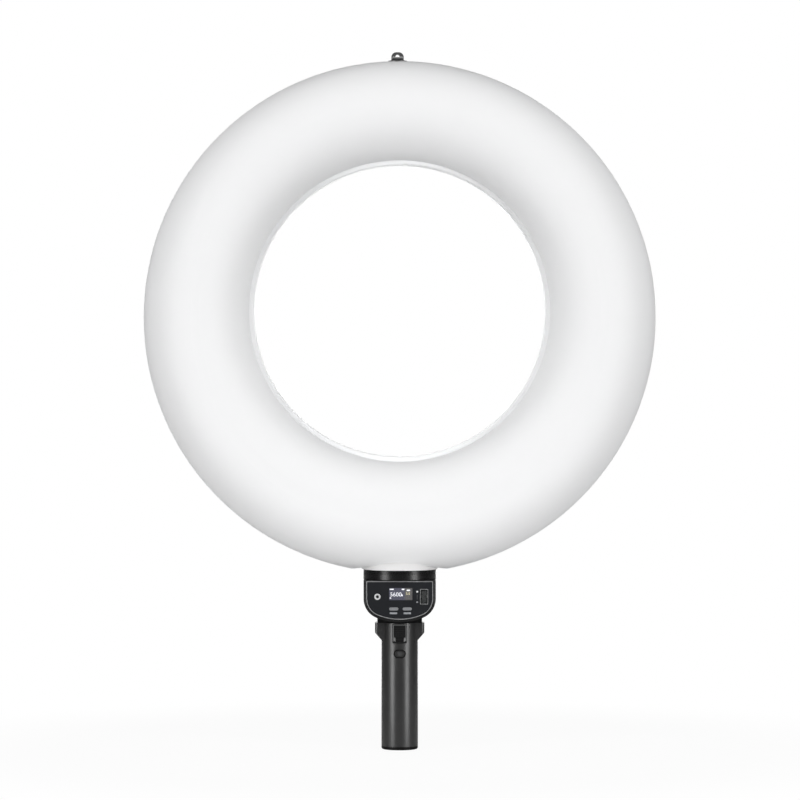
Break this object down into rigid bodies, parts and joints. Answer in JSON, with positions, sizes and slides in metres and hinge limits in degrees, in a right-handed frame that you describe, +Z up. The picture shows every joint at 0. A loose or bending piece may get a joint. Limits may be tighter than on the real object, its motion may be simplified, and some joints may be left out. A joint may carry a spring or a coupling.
{
  "type": "led ring light",
  "caption": "Ring light with an opal tube ring, a control housing with display, keys and dial, and a pull-off cylindrical handle with a tripod thread.",
  "frame": {"origin": "mouth of the tripod thread, at the middle of the handle's foot", "axes": "+Z up along the handle to the ring's top, -Y towards the viewer of the lit side, +X to the viewer's right"},
  "size_m": [0.48, 0.09, 0.6532],
  "materials": {
    "opal": "opal diffuser, satin",
    "white_shell": "fine matte white",
    "cool_light": "cool white LED phosphor",
    "warm_light": "warm white LED phosphor",
    "tray_metal": "plain mill finish",
    "black_body": "fine satin black",
    "panel_black": "smooth dark panel",
    "grip_black": "satin dark grey",
    "silver_line": "polished silver trim",
    "screen_glass": "tinted window",
    "screen_body": "lit display module",
    "button_grey": "mid grey keys",
    "wheel_black": "grooved dark wheel",
    "board_green": "solder mask",
    "board_white": "white solder mask",
    "steel": "plated steel",
    "brass": "turned brass",
    "hanger_black": "black coat",
    "cell_wrap": "shrink sleeve",
    "inner_grey": "moulded dark grey"
  },
  "bodies": {
    "handle": {"grip": "grip_black", "base_cap": "black_body", "tripod_insert": "brass", "battery_sleeve": "inner_grey", "battery_cell": "cell_wrap", "battery_spring": "steel", "socket_insert": "inner_grey", "contact_plate": "board_green", "lock_frame": "button_grey", "oval_ring": "black_body", "switch_board": "board_green", "handle_switch": "inner_grey"},
    "head": {"front_diffuser": "opal", "rear_shell": "white_shell", "inner_trim_ring": "white_shell", "carrier_tray": "tray_metal", "led_board": "board_white", "warm_leds": "warm_light", "cool_leds": "cool_light", "shell_screws": "steel", "neck_cuff": "white_shell", "neck_bracket": "tray_metal", "bracket_screws": "steel", "top_bracket": "tray_metal", "top_bracket_screws": "steel", "hanger_screw": "hanger_black", "bail_pin": "steel", "collar": "black_body", "housing_lid": "inner_grey", "collar_screws": "steel", "housing_shell": "black_body", "face_panel": "panel_black", "panel_border": "silver_line", "display_window": "screen_glass", "display_module": "screen_body", "power_ring": "silver_line", "dial_bezel": "silver_line", "dial_bracket": "inner_grey", "encoder_body": "inner_grey", "control_board": "board_green", "board_screws": "steel", "button_switches": "inner_grey", "power_inlet": "steel", "driver_board": "board_green", "driver_posts": "black_body", "coupling_foot": "black_body", "foot_screws": "steel", "contact_pins": "brass"},
    "bail": {"hanger_bail": "hanger_black"},
    "dial": {"dial_wheel": "wheel_black", "dial_axle": "steel"},
    "power_key": {"power_button": "panel_black"},
    "left_key": {"mode_button_left": "button_grey"},
    "right_key": {"mode_button_right": "button_grey"},
    "slider": {"lock_slider": "inner_grey"},
    "bolt": {"lock_bolt": "steel", "bolt_pin": "steel"},
    "handle_button": {"oval_button": "grip_black"}
  },
  "joints": [
    {"name": "head_release", "type": "slide", "parent": "handle", "child": "head", "axis": [0, 0, 1], "range_m": [0, 0.03]},
    {"name": "bail_swing", "type": "hinge", "parent": "head", "child": "bail", "pos_m": [-0.002, 0, 0.647], "axis": [1, 0, 0], "range_deg": [-85, 85]},
    {"name": "dial_turn", "type": "hinge", "parent": "head", "child": "dial", "pos_m": [0.0227, -0.0224, 0.1443], "axis": [1, 0, 0], "continuous": true},
    {"name": "power_push", "type": "slide", "parent": "head", "child": "power_key", "axis": [0, 1, 0], "range_m": [0, 0.0007], "stiffness_N_per_m": 600, "springref_m": -0.0005},
    {"name": "left_push", "type": "slide", "parent": "head", "child": "left_key", "axis": [0, 1, 0], "range_m": [0, 0.0007], "stiffness_N_per_m": 600, "springref_m": -0.0005},
    {"name": "right_push", "type": "slide", "parent": "head", "child": "right_key", "axis": [0, 1, 0], "range_m": [0, 0.0007], "stiffness_N_per_m": 600, "springref_m": -0.0005},
    {"name": "lock_slide", "type": "slide", "parent": "handle", "child": "slider", "axis": [0, 0, -1], "range_m": [0, 0.0036]},
    {"name": "bolt_throw", "type": "slide", "parent": "handle", "child": "bolt", "axis": [0, 1, 0], "range_m": [0, 0.00225]},
    {"name": "handle_push", "type": "slide", "parent": "handle", "child": "handle_button", "axis": [0, 1, 0], "range_m": [0, 0.0008], "stiffness_N_per_m": 600, "springref_m": -0.0005}
  ],
  "couplings": [
    {"joint": "bolt_throw", "follows": "lock_slide", "ratio": 0.625}
  ]
}
